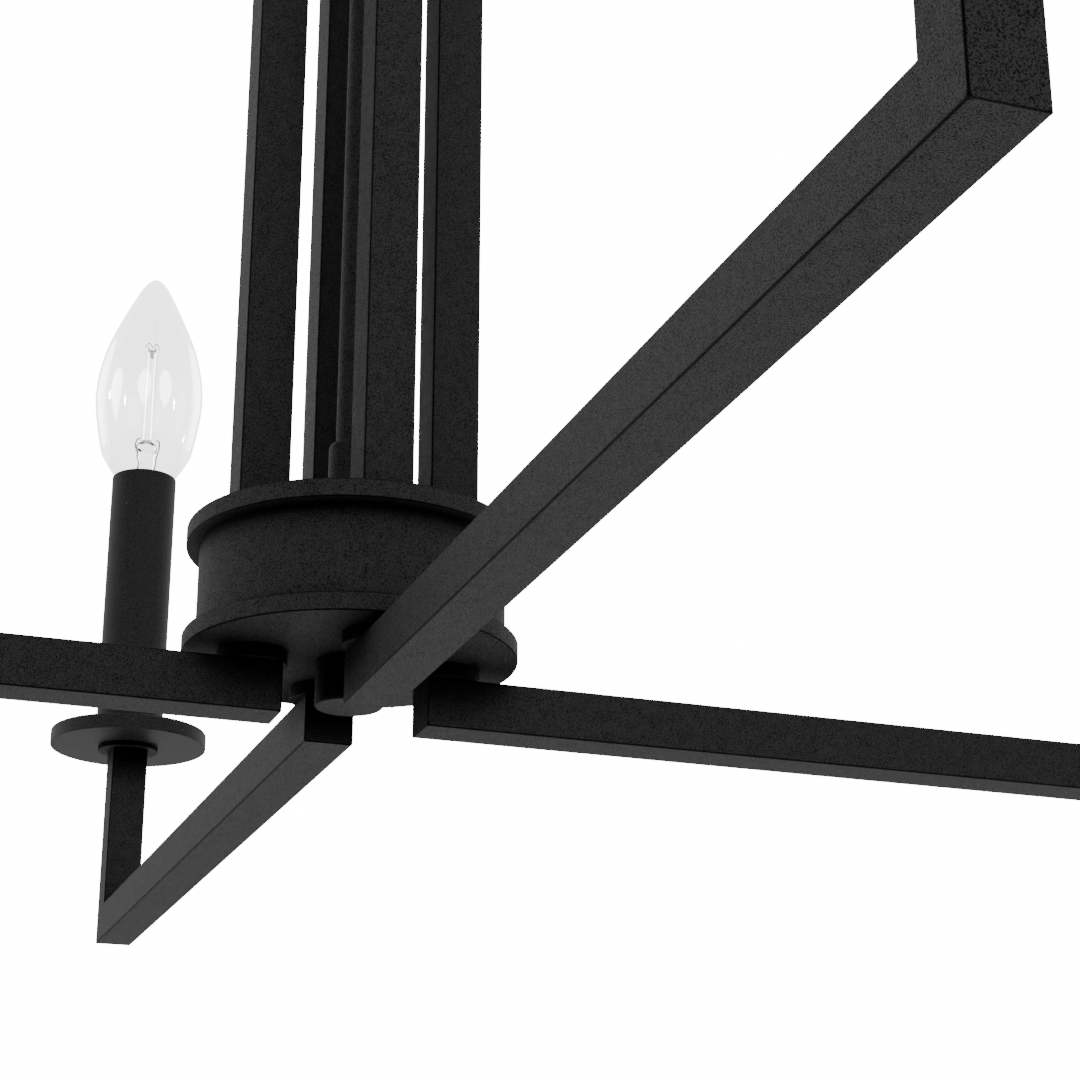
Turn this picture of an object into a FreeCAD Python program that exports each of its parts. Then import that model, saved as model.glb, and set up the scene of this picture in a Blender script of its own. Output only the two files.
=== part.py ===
import FreeCAD, Part
import math
import os

# Linear island pendant: a square-tube cross with two long and two short arms,
# each turned up at a mitre to carry a candle lamp, hung from a four-bar column,
# a two-part stem, a swivel and a round ceiling canopy.
#
# Frame: millimetres, +Z up, +X along the two long arms, origin on the ceiling
# plane at the centre of the canopy. Everything else hangs below z = 0.

# ---------------------------------------------------------------- driving sizes

# Square tube of the arms, uprights and column bars
tube_side = 12.0
tube_wall = 1.2
tube_edge_radius = 0.5

# Arms, measured from the column axis
long_arm_reach = 500.0
short_arm_reach = 298.0
post_radius = 23.4              # column axis to the bars and arm fixings
upright_height = 66.5           # arm underside to the top of the upright

# Column
bar_length = 400.0
rod_radius = 4.9
rod_wall = 1.2
coupling_radius = 6.5
coupling_height = 23.6
coupling_edge_radius = 2.0

# Hub at the foot of the column
plate_radius = 39.4
plate_thickness = 4.5
plate_edge_radius = 0.5
band_radius = 36.3
band_wall = 1.5
band_height = 22.2
rebate_depth = 0.8              # ring groove that locates the band in a plate
collar_radius = 8.2
collar_height = 3.2
finial_radius = 8.0
finial_height = 11.0
finial_bore_depth = 8.0
finial_edge_radius = 0.6

# Spun cap above the column's top plate
cap_height = 26.0
cap_wall = 1.6
cap_lip_height = 3.0
cap_shoulder_radius = 7.0
cap_neck_radius = 9.0
cap_neck_height = 7.0
cap_fillet_radius = 9.0

# Stem
stem_radius = 6.5
stem_wall = 1.45
stem_length = 150.0
stem_collar_radius = 9.0
stem_collar_height = 8.0
stem_collar_edge_radius = 1.5

# Threaded fittings
nipple_radius = 4.9
nipple_bore_radius = 3.2
nipple_grip = 15.0              # length of nipple inside a stem
nut_across_flats = 16.0
nut_thickness = 4.0
screw_radius = 2.95
screw_bore_radius = 1.6
screw_head_radius = 5.0
screw_head_height = 3.0
screw_grip = 9.0                # length of screw inside an end block
end_block_length = 10.0
arm_block_length = 11.0
arm_block_height = 5.0
end_cap_thickness = 1.5

# Swivel below the canopy
barrel_radius = 9.5
barrel_height = 14.0
yoke_collar_radius = 11.0
yoke_collar_height = 3.0
yoke_height = 20.0              # top of the yoke down to the pin
yoke_bore_depth = 10.0
fork_drop = 5.0                 # pin down to the ends of the fork
cheek_half_width = 8.5          # across the flats under the pin heads
tongue_radius = 6.5
tongue_thickness = 7.4
pin_radius = 2.5
pin_head_radius = 4.2
pin_head_height = 1.8
tilt_limit = 30.0               # degrees each way before the fork meets the barrel

# Canopy and ceiling fixing
canopy_radius = 65.0
canopy_height = 22.0
canopy_wall = 1.2
canopy_corner_radius = 8.0
bar_plate_length = 106.0
bar_plate_width = 20.0
bar_plate_thickness = 2.5
box_screw_spacing = 88.9
box_slot_length = 9.0
box_slot_radius = 2.3
wire_hole_radius = 5.2
stud_spacing = 60.0
stud_radius = 2.05
stud_collar_across_flats = 8.0
stud_collar_height = 3.0
ball_nut_radius = 5.0
ball_nut_seat_radius = 3.6
ball_nut_grip = 5.0
ground_screw_offset = 16.0
ground_screw_radius = 1.9
ground_head_radius = 3.6
ground_head_height = 2.2

# Candle lamp on each upright
washer_radius = 10.3
washer_thickness = 1.6
pan_radius = 26.9
pan_height = 5.2
pan_wall = 1.2
sleeve_radius = 11.5
sleeve_wall = 0.8
sleeve_length = 99.7
bracket_thickness = 1.2
bracket_foot_radius = 8.0
bracket_leg_width = 6.0
bracket_leg_place = 6.4
socket_radius = 8.8
socket_rim_radius = 9.8
socket_rim_height = 2.0
socket_length = 31.0
socket_recess = 10.5            # sleeve top down to the socket's rim
socket_bore_radius = 6.3
socket_bore_depth = 20.0
socket_edge_radius = 1.5

# Candle lamp bulb
bulb_cap_radius = 5.95
bulb_cap_wall = 0.5
bulb_cap_length = 16.5
bulb_cap_show = 0.8             # cap rim below the socket's rim
bulb_contact_radius = 2.2
bulb_contact_height = 2.2
bulb_glass_radius = 19.5
bulb_glass_height = 92.3        # rim of the cap to the tip
bulb_glass_wall = 0.8
bulb_neck_radius = 5.3
bulb_neck_length = 5.0
bulb_mount_height = 34.0
bulb_mount_radius = 1.6

# Clearances
thread_clearance = 0.1
slip_clearance = 0.15
block_clearance = 0.05
running_clearance = 0.08
body_gap = 0.3

# ---------------------------------------------------------------- heights, from the ceiling down

fork_reach = fork_drop * math.cos(math.radians(tilt_limit))
fork_swing = barrel_radius * math.sin(math.radians(tilt_limit))
shoulder_drop = fork_reach + fork_swing + body_gap

z_canopy_floor = -canopy_height
z_yoke_top = z_canopy_floor - body_gap
z_pin = z_yoke_top - yoke_height
z_fork_end = z_pin - fork_drop
z_shoulder = z_pin - shoulder_drop
z_knuckle_bottom = z_shoulder - barrel_height
z_upper_stem_bottom = z_knuckle_bottom - stem_length
z_lower_stem_top = z_upper_stem_bottom - stem_collar_height
z_cap_top = z_lower_stem_top - stem_length
z_cap_bottom = z_cap_top - cap_height
z_bars_top = z_cap_bottom - plate_thickness
z_bars_bottom = z_bars_top - bar_length
z_band_top = z_bars_bottom - plate_thickness
z_band_bottom = z_band_top - band_height
z_base_bottom = z_band_bottom - plate_thickness
z_arm_top = z_base_bottom - collar_height
z_arm_bottom = z_arm_top - tube_side
z_upright_top = z_arm_bottom + upright_height
z_pan_bottom = z_upright_top + washer_thickness
z_pan_floor = z_pan_bottom + pan_wall
z_sleeve_top = z_pan_floor + sleeve_length
z_socket_top = z_sleeve_top - socket_recess
z_socket_bottom = z_socket_top - socket_length
z_bulb_rim = z_socket_top - bulb_cap_show
z_bulb_cap_bottom = z_bulb_rim - bulb_cap_length

# Each arm: its direction about the column axis and its reach
arms = {
    "right": (0.0, long_arm_reach),
    "back": (90.0, short_arm_reach),
    "left": (180.0, long_arm_reach),
    "front": (270.0, short_arm_reach),
}

up = FreeCAD.Vector(0, 0, 1)
centre = FreeCAD.Vector(0, 0, 0)

# ---------------------------------------------------------------- helpers


def point(x, y, z):
    return FreeCAD.Vector(x, y, z)


def disc(radius, z_low, z_high, x=0.0, y=0.0):
    """Upright cylinder between two heights."""
    return Part.makeCylinder(radius, z_high - z_low, point(x, y, z_low), up)


def ring(outer_radius, inner_radius, z_low, z_high):
    return disc(outer_radius, z_low, z_high).cut(disc(inner_radius, z_low, z_high))


def block(x_low, x_high, y_half, z_low, z_high):
    """Box that is centred on y = 0."""
    corner = point(x_low, -y_half, z_low)
    return Part.makeBox(x_high - x_low, 2 * y_half, z_high - z_low, corner)


def prism(corners, y_half):
    """Outline of (x, z) corners, drawn out both ways from y = 0."""
    outline = [point(x, -y_half, z) for x, z in corners]
    outline.append(outline[0])
    face = Part.Face(Part.makePolygon(outline))
    return face.extrude(point(0, 2 * y_half, 0))


def hexagon(across_flats, z_low, z_high):
    corner_radius = across_flats / math.sqrt(3.0)
    angles = [math.radians(60 * turn) for turn in range(7)]
    corners = [point(corner_radius * math.cos(a), corner_radius * math.sin(a), z_low) for a in angles]
    face = Part.Face(Part.makePolygon(corners))
    return face.extrude(point(0, 0, z_high - z_low))


def spun(edges):
    """Solid turned about the z axis from a closed outline in the xz plane."""
    face = Part.Face(Part.Wire(edges))
    return face.revolve(centre, up, 360)


def line(start, end):
    """Outline edge between two (radius, z) points."""
    return Part.makeLine(point(start[0], 0, start[1]), point(end[0], 0, end[1]))


def arc(start, middle, end):
    """Outline arc through three (radius, z) points."""
    places = [point(radius, 0, z) for radius, z in (start, middle, end)]
    return Part.Arc(*places).toShape()


def rounded_rims(solid, radius, rim_radius):
    """Round every circular edge of the given radius."""
    rims = []
    for edge in solid.Edges:
        curve = edge.Curve
        if isinstance(curve, Part.Circle) and abs(curve.Radius - rim_radius) < 1e-6:
            rims.append(edge)
    return solid.makeFillet(radius, rims)


def turned(shape, degrees):
    copy = shape.copy()
    copy.rotate(centre, up, degrees)
    return copy


def moved(shape, x, y, z):
    copy = shape.copy()
    copy.translate(point(x, y, z))
    return copy


def joined(shapes):
    """One solid from pieces that overlap or meet."""
    return shapes[0].fuse(shapes[1:]).removeSplitter()


def loose(shapes):
    """Group of separate solids that share a node."""
    return Part.makeCompound(shapes)


def save(name, shape):
    shape.exportStep("parts/" + name + ".step")


# ---------------------------------------------------------------- square tube


def tube_bore_half():
    return tube_side / 2 - tube_wall


def end_block_half():
    return tube_bore_half() - block_clearance


def square_tube(length):
    """Hollow square tube that stands on z = 0."""
    half = tube_side / 2
    bore = tube_bore_half()
    outer = block(-half, half, half, 0, length)
    corners = [e for e in outer.Edges if abs(e.Length - length) < 1e-6 and abs(e.tangentAt(0).z) > 0.99]
    outer = outer.makeFillet(tube_edge_radius, corners)
    return outer.cut(block(-bore, bore, bore, 0, length))


# ---------------------------------------------------------------- arms and uprights


def arm(reach):
    """Level tube along +X: square at the hub, mitred at the outer end."""
    inner_end = post_radius - tube_side / 2
    tube = square_tube(reach - inner_end)
    tube.rotate(centre, point(0, 1, 0), 90)
    tube.translate(point(inner_end, 0, z_arm_bottom + tube_side / 2))
    mitre = prism([(reach, z_arm_bottom), (reach - tube_side, z_arm_top), (reach, z_arm_top)], tube_side)
    screw_hole = disc(screw_radius + thread_clearance, z_arm_top - tube_wall - 1, z_arm_top, post_radius)
    return tube.cut(mitre).cut(screw_hole)


def upright(reach):
    """Standing tube whose foot is cut to the arm's mitre."""
    inner_face = reach - tube_side
    tube = moved(square_tube(upright_height), reach - tube_side / 2, 0, z_arm_bottom)
    mitre = prism([(inner_face, z_arm_bottom), (reach, z_arm_bottom), (inner_face, z_arm_top)], tube_side)
    return tube.cut(mitre)


def arm_end_block():
    """End cap with a tapped ledge under the arm's top wall."""
    inner_end = post_radius - tube_side / 2
    bore = tube_bore_half()
    half = end_block_half()
    middle = z_arm_bottom + tube_side / 2
    ledge_top = middle + bore
    cap = block(inner_end, inner_end + end_cap_thickness, half, middle - half, ledge_top)
    ledge = block(inner_end, inner_end + arm_block_length, half, ledge_top - arm_block_height, ledge_top)
    tapping = disc(screw_radius + thread_clearance, ledge_top - arm_block_height, ledge_top, post_radius)
    return joined([cap, ledge]).cut(tapping)


def tube_end_block(z_low):
    """Tapped square plug in the end of a standing tube."""
    half = end_block_half()
    plug = block(-half, half, half, z_low, z_low + end_block_length)
    return plug.cut(disc(screw_radius + thread_clearance, z_low, z_low + end_block_length))


def tube_end_blocks():
    blocks = []
    for angle, reach in arms.values():
        lower = moved(tube_end_block(z_bars_bottom), post_radius, 0, 0)
        upper = moved(tube_end_block(z_bars_top - end_block_length), post_radius, 0, 0)
        candle = moved(tube_end_block(z_upright_top - end_block_length), reach - tube_side / 2, 0, 0)
        blocks += [turned(piece, angle) for piece in (lower, upper, candle)]
    return loose(blocks)


def screw(length, bore_radius=0.0):
    """Pan-head screw with its head on z = 0 and its shank below."""
    head = rounded_rims(disc(screw_head_radius, 0, screw_head_height), screw_head_height / 3, screw_head_radius)
    body = joined([head, disc(screw_radius, -length, 0)])
    if bore_radius:
        body = body.cut(disc(bore_radius, -length, screw_head_height))
    return body


def around_posts(piece):
    """The same piece at each of the four posts."""
    return [turned(moved(piece, post_radius, 0, 0), angle) for angle, reach in arms.values()]


def arm_screws():
    """Hollow screws from inside the hub, through base and collar into the arms."""
    length = plate_thickness + collar_height + tube_wall + arm_block_height
    return loose(around_posts(moved(screw(length, screw_bore_radius), 0, 0, z_band_bottom)))


def bar_screws():
    """Screws through the two column plates into the ends of the bars."""
    length = plate_thickness + screw_grip
    from_above = moved(screw(length), 0, 0, z_cap_bottom)
    from_below = screw(length)
    from_below.rotate(centre, point(1, 0, 0), 180)
    from_below.translate(point(0, 0, z_band_top))
    return loose(around_posts(from_above) + around_posts(from_below))


def arm_collars():
    collar = ring(collar_radius, screw_radius + thread_clearance, z_arm_top, z_base_bottom)
    return loose(around_posts(collar))


# ---------------------------------------------------------------- column and hub


def column_bar():
    return moved(square_tube(bar_length), post_radius, 0, z_bars_bottom)


def column_plate(z_low, groove_z=None):
    """Round plate with a centre hole, four screw holes and a ring groove."""
    z_high = z_low + plate_thickness
    plate = rounded_rims(disc(plate_radius, z_low, z_high), plate_edge_radius, plate_radius)
    plate = plate.cut(disc(nipple_radius + thread_clearance, z_low, z_high))
    hole = disc(screw_radius + thread_clearance, z_low, z_high)
    plate = plate.cut(around_posts(hole))
    if groove_z is not None:
        outer = band_radius + slip_clearance
        inner = band_radius - band_wall - slip_clearance
        plate = plate.cut(ring(outer, inner, groove_z, groove_z + rebate_depth))
    return plate


def hub_band():
    z_low = z_band_bottom - rebate_depth
    z_high = z_band_top + rebate_depth
    return ring(band_radius, band_radius - band_wall, z_low, z_high)


def finial():
    z_low = z_base_bottom - finial_height
    knob = rounded_rims(disc(finial_radius, z_low, z_base_bottom), finial_edge_radius, finial_radius)
    return knob.cut(disc(nipple_radius + thread_clearance, z_base_bottom - finial_bore_depth, z_base_bottom))


def rod_coupling():
    """Collar that joins the centre rod to a plate's nipple, standing on z = 0."""
    body = disc(coupling_radius, 0, coupling_height)
    free_rim = max(body.Edges, key=lambda edge: edge.CenterOfMass.z)
    body = body.makeFillet(coupling_edge_radius, [free_rim])
    return body.cut(disc(nipple_radius + thread_clearance, 0, coupling_height))


def rod_couplings():
    lower = moved(rod_coupling(), 0, 0, z_bars_bottom)
    upper = rod_coupling()
    upper.rotate(centre, point(1, 0, 0), 180)
    upper.translate(point(0, 0, z_bars_top))
    return loose([lower, upper])


def centre_rod():
    z_low = z_bars_bottom + coupling_height / 2 + slip_clearance
    z_high = z_bars_top - coupling_height / 2 - slip_clearance
    return ring(rod_radius, rod_radius - rod_wall, z_low, z_high)


def top_cap():
    """Spun cap: upright lip, round shoulder, sloped crown and neck."""
    slope_start_radius = band_radius - cap_shoulder_radius
    shoulder_z = cap_lip_height + cap_shoulder_radius
    neck_z = cap_height - cap_neck_height
    bend = cap_shoulder_radius * math.sqrt(0.5)
    fillet_end = cap_neck_radius + cap_fillet_radius
    fillet_low = neck_z - cap_fillet_radius
    dip = cap_fillet_radius * (1 - math.sqrt(0.5))
    outline = [
        line((0, 0), (band_radius, 0)),
        line((band_radius, 0), (band_radius, cap_lip_height)),
        arc((band_radius, cap_lip_height),
            (slope_start_radius + bend, cap_lip_height + bend),
            (slope_start_radius, shoulder_z)),
        line((slope_start_radius, shoulder_z), (fillet_end, fillet_low)),
        arc((fillet_end, fillet_low),
            (cap_neck_radius + dip, fillet_low + dip),
            (cap_neck_radius, neck_z)),
        line((cap_neck_radius, neck_z), (cap_neck_radius, cap_height)),
        line((cap_neck_radius, cap_height), (0, cap_height)),
        line((0, cap_height), (0, 0)),
    ]
    solid = spun(outline)
    mouth = min(solid.Faces, key=lambda face: face.CenterOfMass.z)
    shell = solid.makeThickness([mouth], -cap_wall, 1e-3)
    shell = shell.cut(disc(nipple_radius + thread_clearance, 0, cap_height))
    return moved(shell, 0, 0, z_cap_bottom)


def lock_nut(z_low):
    nut = hexagon(nut_across_flats, z_low, z_low + nut_thickness)
    return nut.cut(disc(nipple_radius + thread_clearance, z_low, z_low + nut_thickness))


def column_lock_nuts():
    """One nut on the top plate and one against each plate inside the hub."""
    heights = [z_cap_bottom, z_band_top - nut_thickness, z_band_bottom]
    return loose([lock_nut(z) for z in heights])


def nipple(z_low, z_high):
    return ring(nipple_radius, nipple_bore_radius, z_low, z_high)


def column_nipples():
    """Threaded tubes: swivel to stem, stem to stem, through cap, through hub."""
    coupling_middle = coupling_height / 2
    swivel = nipple(z_knuckle_bottom - nipple_grip, z_knuckle_bottom + yoke_bore_depth)
    middle = nipple(z_lower_stem_top - nipple_grip, z_upper_stem_bottom + nipple_grip)
    cap = nipple(z_bars_top - coupling_middle, z_cap_top + nipple_grip)
    hub = nipple(z_base_bottom - finial_bore_depth + body_gap, z_bars_bottom + coupling_middle)
    return loose([swivel, middle, cap, hub])


# ---------------------------------------------------------------- stem and swivel


def stem(z_low):
    return ring(stem_radius, stem_radius - stem_wall, z_low, z_low + stem_length)


def stem_collar():
    collar = disc(stem_collar_radius, z_lower_stem_top, z_upper_stem_bottom)
    collar = rounded_rims(collar, stem_collar_edge_radius, stem_collar_radius)
    return collar.cut(disc(nipple_radius + thread_clearance, z_lower_stem_top, z_upper_stem_bottom))


def swivel_yoke():
    """Fork that turns on the canopy nipple and holds the pin."""
    slot_half = tongue_thickness / 2 + body_gap
    slot_top = z_pin + tongue_radius + body_gap
    collar = disc(yoke_collar_radius, z_yoke_top - yoke_collar_height, z_yoke_top)
    body = joined([disc(barrel_radius, z_fork_end, z_yoke_top), collar])
    body = body.cut(disc(nipple_radius + thread_clearance, z_yoke_top - yoke_bore_depth, z_yoke_top))
    body = body.cut(block(-barrel_radius, barrel_radius, slot_half, z_fork_end, slot_top))
    for side in (1, -1):
        depth = barrel_radius - cheek_half_width
        low_y = cheek_half_width if side > 0 else -barrel_radius
        flat = Part.makeBox(2 * barrel_radius, depth, slot_top - z_fork_end, point(-barrel_radius, low_y, z_fork_end))
        body = body.cut(flat)
    return body.cut(cross_pin(pin_radius + block_clearance, cheek_half_width))


def cross_pin(radius, half_length):
    """Cylinder along Y on the pin axis."""
    return Part.makeCylinder(radius, 2 * half_length, point(0, -half_length, z_pin), point(0, 1, 0))


def swivel_pin():
    """Rivet with a domed head on each cheek."""
    shank = cross_pin(pin_radius, cheek_half_width)
    pieces = [shank]
    for side in (1, -1):
        start = point(0, side * cheek_half_width, z_pin)
        head = Part.makeCylinder(pin_head_radius, pin_head_height, start, point(0, side, 0))
        outer_rim = max(head.Edges, key=lambda edge: abs(edge.CenterOfMass.y))
        pieces.append(head.makeFillet(pin_head_height * 0.6, [outer_rim]))
    return joined(pieces)


def swivel_knuckle():
    """Barrel on the stem with a tongue that tilts on the pin."""
    barrel = disc(barrel_radius, z_knuckle_bottom, z_shoulder)
    barrel = barrel.cut(disc(nipple_radius + thread_clearance, z_knuckle_bottom, z_knuckle_bottom + yoke_bore_depth))
    half = tongue_thickness / 2
    tongue = block(-tongue_radius, tongue_radius, half, z_shoulder - 1, z_pin)
    eye = cross_pin(tongue_radius, half)
    return joined([barrel, tongue, eye]).cut(cross_pin(pin_radius + running_clearance, half))


# ---------------------------------------------------------------- canopy and ceiling fixing


def canopy():
    """Shallow cup with a rounded corner, open to the ceiling."""
    corner = canopy_corner_radius
    bend = corner * math.sqrt(0.5)
    outline = [
        line((0, 0), (canopy_radius, 0)),
        line((canopy_radius, 0), (canopy_radius, z_canopy_floor + corner)),
        arc((canopy_radius, z_canopy_floor + corner),
            (canopy_radius - corner + bend, z_canopy_floor + corner - bend),
            (canopy_radius - corner, z_canopy_floor)),
        line((canopy_radius - corner, z_canopy_floor), (0, z_canopy_floor)),
        line((0, z_canopy_floor), (0, 0)),
    ]
    solid = spun(outline)
    mouth = max(solid.Faces, key=lambda face: face.CenterOfMass.z)
    shell = solid.makeThickness([mouth], -canopy_wall, 1e-3)
    shell = shell.cut(disc(nipple_radius + thread_clearance, z_canopy_floor, 0))
    for side in (1, -1):
        stud_hole = disc(stud_radius + thread_clearance, z_canopy_floor, 0, side * stud_spacing / 2)
        shell = shell.cut(stud_hole)
    return shell


def mounting_bar():
    """Flat strap with rounded ends: box-screw slots, stud holes, wire hole."""
    z_low = -bar_plate_thickness
    half_width = bar_plate_width / 2
    end_place = bar_plate_length / 2 - half_width
    straight = block(-end_place, end_place, half_width, z_low, 0)
    ends = [disc(half_width, z_low, 0, side * end_place) for side in (1, -1)]
    strap = joined([straight] + ends)
    strap = strap.cut(disc(wire_hole_radius, z_low, 0))
    strap = strap.cut(disc(ground_screw_radius + thread_clearance, z_low, 0, ground_screw_offset))
    for side in (1, -1):
        strap = strap.cut(disc(stud_radius + thread_clearance, z_low, 0, side * stud_spacing / 2))
        strap = strap.cut(box_slot(side * box_screw_spacing / 2, z_low))
    return strap


def box_slot(x, z_low):
    half_run = box_slot_length / 2 - box_slot_radius
    middle = block(x - half_run, x + half_run, box_slot_radius, z_low, 0)
    ends = [disc(box_slot_radius, z_low, 0, x + side * half_run) for side in (1, -1)]
    return joined([middle] + ends)


def canopy_studs():
    """Studs tapped through the strap, each locked by a hex collar below it."""
    studs = []
    for side in (1, -1):
        shank = disc(stud_radius, z_canopy_floor - ball_nut_grip, 0)
        collar_top = -bar_plate_thickness
        collar = hexagon(stud_collar_across_flats, collar_top - stud_collar_height, collar_top)
        studs.append(moved(joined([shank, collar]), side * stud_spacing / 2, 0, 0))
    return loose(studs)


def canopy_ball_nuts():
    """Round nuts that hold the canopy up on its studs."""
    nuts = []
    for side in (1, -1):
        seat_rise = math.sqrt(ball_nut_radius ** 2 - ball_nut_seat_radius ** 2)
        ball = Part.makeSphere(ball_nut_radius, point(0, 0, z_canopy_floor - seat_rise))
        below = disc(2 * ball_nut_radius, z_canopy_floor - 3 * ball_nut_radius, z_canopy_floor)
        tapping_low = z_canopy_floor - ball_nut_grip - slip_clearance
        nut = ball.common(below).cut(disc(stud_radius + thread_clearance, tapping_low, z_canopy_floor))
        nuts.append(moved(nut, side * stud_spacing / 2, 0, 0))
    return loose(nuts)


def ground_screw():
    z_head_top = -bar_plate_thickness
    head = disc(ground_head_radius, z_head_top - ground_head_height, z_head_top)
    low_rim = min(head.Edges, key=lambda edge: edge.CenterOfMass.z)
    head = head.makeFillet(ground_head_height / 3, [low_rim])
    shank = disc(ground_screw_radius, z_head_top, 0)
    return moved(joined([head, shank]), ground_screw_offset, 0, 0)


def canopy_lock_nut():
    return lock_nut(z_canopy_floor + canopy_wall)


def canopy_nipple():
    z_low = z_yoke_top - yoke_bore_depth + body_gap
    z_high = z_canopy_floor + canopy_wall + nut_thickness + 2 * canopy_wall
    return nipple(z_low, z_high)


# ---------------------------------------------------------------- candle lamps


def at_candles(piece):
    """The same piece on each of the four uprights."""
    return [at_candle(piece, name) for name in arms]


def at_candle(piece, name):
    angle, reach = arms[name]
    return turned(moved(piece, reach - tube_side / 2, 0, 0), angle)


def candle_washer():
    return ring(washer_radius, screw_radius + thread_clearance, z_upright_top, z_pan_bottom)


def candle_nipple():
    z_high = z_pan_floor + bracket_thickness + screw_radius
    return ring(screw_radius, screw_bore_radius, z_upright_top - screw_grip, z_high)


def drip_pan():
    """Round dish with a plain upright side and a softened top rim."""
    z_high = z_pan_bottom + pan_height
    inner = pan_radius - pan_wall
    lip = pan_wall / 2
    hole = screw_radius + thread_clearance
    outline = [
        line((hole, z_pan_bottom), (pan_radius, z_pan_bottom)),
        line((pan_radius, z_pan_bottom), (pan_radius, z_high - lip)),
        arc((pan_radius, z_high - lip), (pan_radius - lip, z_high), (inner, z_high - lip)),
        line((inner, z_high - lip), (inner, z_pan_floor)),
        line((inner, z_pan_floor), (hole, z_pan_floor)),
        line((hole, z_pan_floor), (hole, z_pan_bottom)),
    ]
    return spun(outline)


def socket_bracket():
    """Foot on the drip pan, one leg and a seat under the socket."""
    leg_outer = bracket_leg_place + bracket_thickness
    foot = disc(bracket_foot_radius, z_pan_floor, z_pan_floor + bracket_thickness)
    seat = disc(bracket_foot_radius, z_socket_bottom - bracket_thickness, z_socket_bottom)
    leg = block(bracket_leg_place, leg_outer, bracket_leg_width / 2, z_pan_floor, z_socket_bottom)
    wire_way = disc(screw_radius + thread_clearance, z_pan_floor, z_socket_bottom)
    return joined([foot, seat, leg]).cut(wire_way)


def lamp_socket():
    """Moulded socket: rounded foot, plain barrel, wider rim and a bore."""
    body = disc(socket_radius, z_socket_bottom, z_socket_top)
    foot_rim = min(body.Edges, key=lambda edge: edge.CenterOfMass.z)
    body = body.makeFillet(socket_edge_radius, [foot_rim])
    rim = disc(socket_rim_radius, z_socket_top - socket_rim_height, z_socket_top)
    bore = disc(socket_bore_radius, z_socket_top - socket_bore_depth, z_socket_top)
    return joined([body, rim]).cut(bore)


def candle_sleeve():
    return ring(sleeve_radius, sleeve_radius - sleeve_wall, z_pan_floor, z_sleeve_top)


def bulb_curve(wall):
    """Torpedo outline from the neck to the tip, drawn in by the wall."""
    radius = bulb_glass_radius
    height = bulb_glass_height
    shape = [
        (0.400, 0.060),
        (0.528, 0.122),
        (0.742, 0.196),
        (0.867, 0.263),
        (1.000, 0.464),
        (0.867, 0.653),
        (0.490, 0.848),
        (0.200, 0.965),
    ]
    places = [point(bulb_neck_radius - wall, 0, z_bulb_rim + body_gap)]
    places += [point(share_r * radius - wall, 0, z_bulb_rim + share_z * height) for share_r, share_z in shape]
    places.append(point(0, 0, z_bulb_rim + height - wall))
    curve = Part.BSplineCurve()
    curve.interpolate(places, InitialTangent=point(0.2, 0, 1), FinalTangent=point(-1, 0, 0))
    return curve.toShape()


def bulb_solid(wall):
    """Solid of revolution inside one surface of the glass, with its neck."""
    radius = bulb_neck_radius - wall
    z_low = z_bulb_rim - bulb_neck_length
    z_start = z_bulb_rim + body_gap
    z_tip = z_bulb_rim + bulb_glass_height - wall
    outline = [
        line((0, z_low), (radius, z_low)),
        line((radius, z_low), (radius, z_start)),
        bulb_curve(wall),
        line((0, z_tip), (0, z_low)),
    ]
    return spun(outline)


def bulb_glass():
    """Thin clear envelope with the glass mount sealed into its neck."""
    z_low = z_bulb_rim - bulb_neck_length
    bore = bulb_neck_radius - bulb_glass_wall
    shell = bulb_solid(0.0).cut(bulb_solid(bulb_glass_wall))
    flare = Part.makeCone(bore + bulb_glass_wall / 2, bulb_mount_radius, 2 * bore, point(0, 0, z_low), up)
    mount = disc(bulb_mount_radius, z_low, z_low + bulb_mount_height)
    return joined([shell, flare, mount])


def bulb_cap():
    """Screw cap: thin cup, insulating ring and centre contact."""
    inner = bulb_cap_radius - bulb_cap_wall
    z_cup_floor = z_bulb_cap_bottom + bulb_contact_height
    z_hollow = z_cup_floor + 2 * bulb_cap_wall
    outline = [
        line((0, z_bulb_cap_bottom), (bulb_contact_radius, z_bulb_cap_bottom)),
        line((bulb_contact_radius, z_bulb_cap_bottom), (bulb_cap_radius, z_cup_floor)),
        line((bulb_cap_radius, z_cup_floor), (bulb_cap_radius, z_bulb_rim)),
        line((bulb_cap_radius, z_bulb_rim), (inner, z_bulb_rim)),
        line((inner, z_bulb_rim), (inner, z_hollow)),
        line((inner, z_hollow), (0, z_hollow)),
        line((0, z_hollow), (0, z_bulb_cap_bottom)),
    ]
    return spun(outline)


# ---------------------------------------------------------------- pieces

os.makedirs("parts", exist_ok=True)

save("mounting_bar", mounting_bar())
save("canopy", canopy())
save("canopy_studs", canopy_studs())
save("canopy_ball_nuts", canopy_ball_nuts())
save("ground_screw", ground_screw())
save("canopy_nipple", canopy_nipple())
save("canopy_lock_nut", canopy_lock_nut())

save("swivel_yoke", swivel_yoke())
save("swivel_pin", swivel_pin())
save("swivel_knuckle", swivel_knuckle())

save("stem_upper", stem(z_upper_stem_bottom))
save("stem_collar", stem_collar())
save("stem_lower", stem(z_cap_top))
save("column_nipples", column_nipples())
save("column_lock_nuts", column_lock_nuts())

save("top_cap", top_cap())
save("top_plate", column_plate(z_bars_top))
save("rod_couplings", rod_couplings())
save("centre_rod", centre_rod())
save("bar_screws", bar_screws())
save("tube_end_blocks", tube_end_blocks())

save("hub_plate", column_plate(z_band_top, z_band_top))
save("hub_band", hub_band())
save("hub_base", column_plate(z_base_bottom, z_band_bottom - rebate_depth))
save("finial", finial())
save("arm_collars", arm_collars())
save("arm_screws", arm_screws())
save("arm_end_blocks", loose([turned(arm_end_block(), angle) for angle, reach in arms.values()]))

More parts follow.
